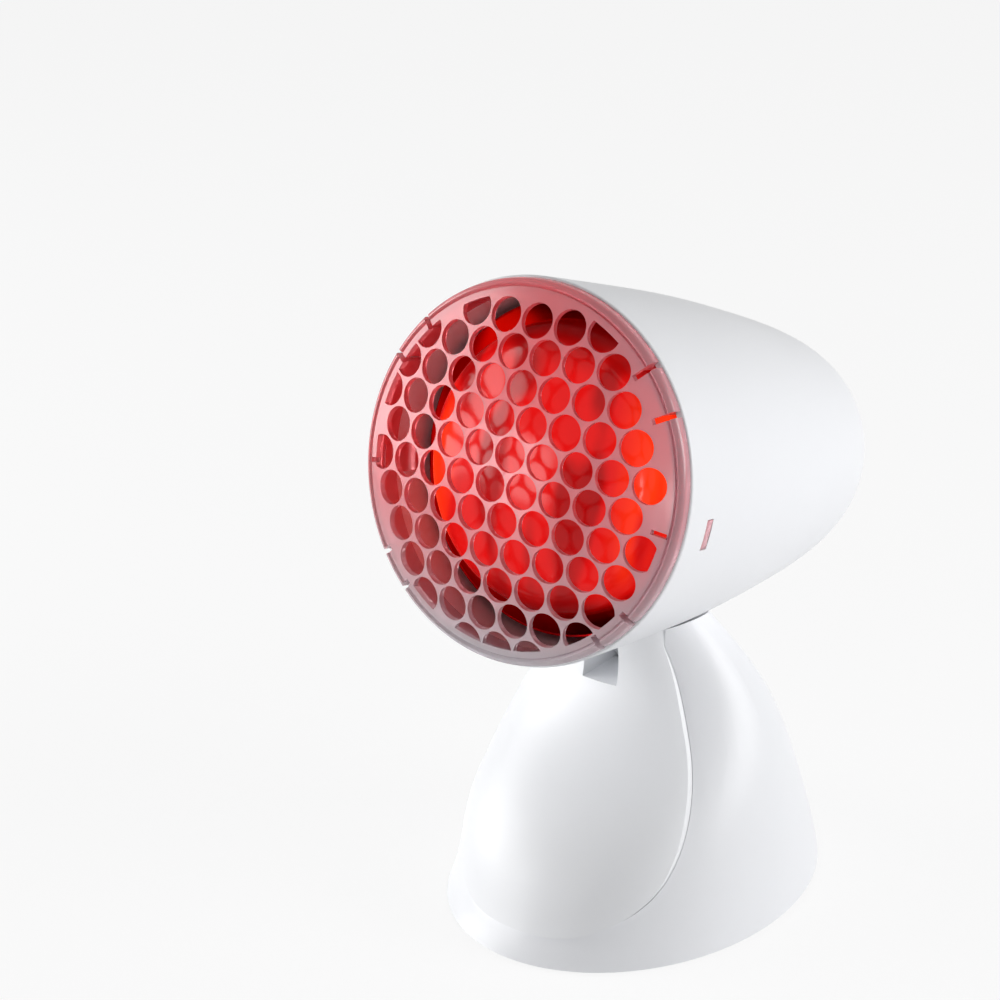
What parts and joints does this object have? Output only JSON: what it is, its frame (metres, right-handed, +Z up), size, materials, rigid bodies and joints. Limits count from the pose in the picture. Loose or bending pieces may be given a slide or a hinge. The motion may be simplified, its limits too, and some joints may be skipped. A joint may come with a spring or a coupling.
{
  "type": "infrared heat therapy lamp",
  "caption": "Tabletop infrared lamp: a red reflector bulb in a bullet-shaped shade behind a clear domed grille, tilting in steps on an oval bell-shaped base.",
  "frame": {"origin": "middle of the foot ring's underside, on the surface that the lamp stands on", "axes": "+Z up, the lamp faces -Y, +X is to the right of someone who looks at the lamp's face"},
  "size_m": [0.1234, 0.1876, 0.2302],
  "materials": {
    "white_plastic": "satin gloss",
    "clear_grille": "clear, glossy",
    "red_glass": "glossy red",
    "black_plastic": "satin",
    "dark_plastic": "matte",
    "rubber": "matte",
    "steel": "zinc-plated",
    "spring_steel": "bright",
    "brass": "bright",
    "aluminium": "bright",
    "porcelain": "glazed",
    "bronze": "matte",
    "clear_glass": "clear",
    "black_glass": "glossy",
    "tungsten": "dull",
    "nylon": "satin",
    "lead_sleeve": "satin"
  },
  "bodies": {
    "base": {"base_shell": "white_plastic", "front_panel": "white_plastic", "base_plate": "white_plastic", "foot_ring": "rubber", "base_screws": "steel", "tilt_axle": "steel", "axle_washers": "steel", "detent_spring": "spring_steel", "spring_screw": "steel", "switch_body": "black_plastic", "switch_terminals": "brass", "cord_inlet": "rubber", "terminal_block": "nylon", "block_screw": "steel", "cord_clamp": "dark_plastic", "clamp_screws": "steel", "lamp_leads": "lead_sleeve", "switch_leads": "lead_sleeve"},
    "head": {"head_housing": "white_plastic", "tilt_bush": "bronze", "protective_grille": "clear_grille", "lampholder_body": "porcelain", "lampholder_sleeve": "brass", "lampholder_contact": "brass", "holder_bracket": "steel", "heat_shield": "aluminium", "bracket_screws": "steel", "holder_screws": "steel", "head_leads": "lead_sleeve"},
    "bulb": {"bulb_glass": "red_glass", "bulb_cap": "brass", "bulb_insulator": "black_glass", "bulb_contact": "brass", "filament_mount": "clear_glass", "filament": "tungsten"},
    "rocker": {"switch_rocker": "black_plastic"}
  },
  "joints": [
    {"name": "head_tilt", "type": "hinge", "parent": "base", "child": "head", "pos_m": [0, 0.01, 0.087], "axis": [-1, 0, 0], "range_deg": [0, 32]},
    {"name": "bulb_turn", "type": "hinge", "parent": "head", "child": "bulb", "pos_m": [0, -0.06281, 0.17111], "axis": [0, 0.9703, -0.2419], "range_deg": [0, 1080]},
    {"name": "switch_press", "type": "hinge", "parent": "base", "child": "rocker", "pos_m": [0, 0.06109, 0.0337], "axis": [1, 0, 0], "range_deg": [0, 20]}
  ]
}
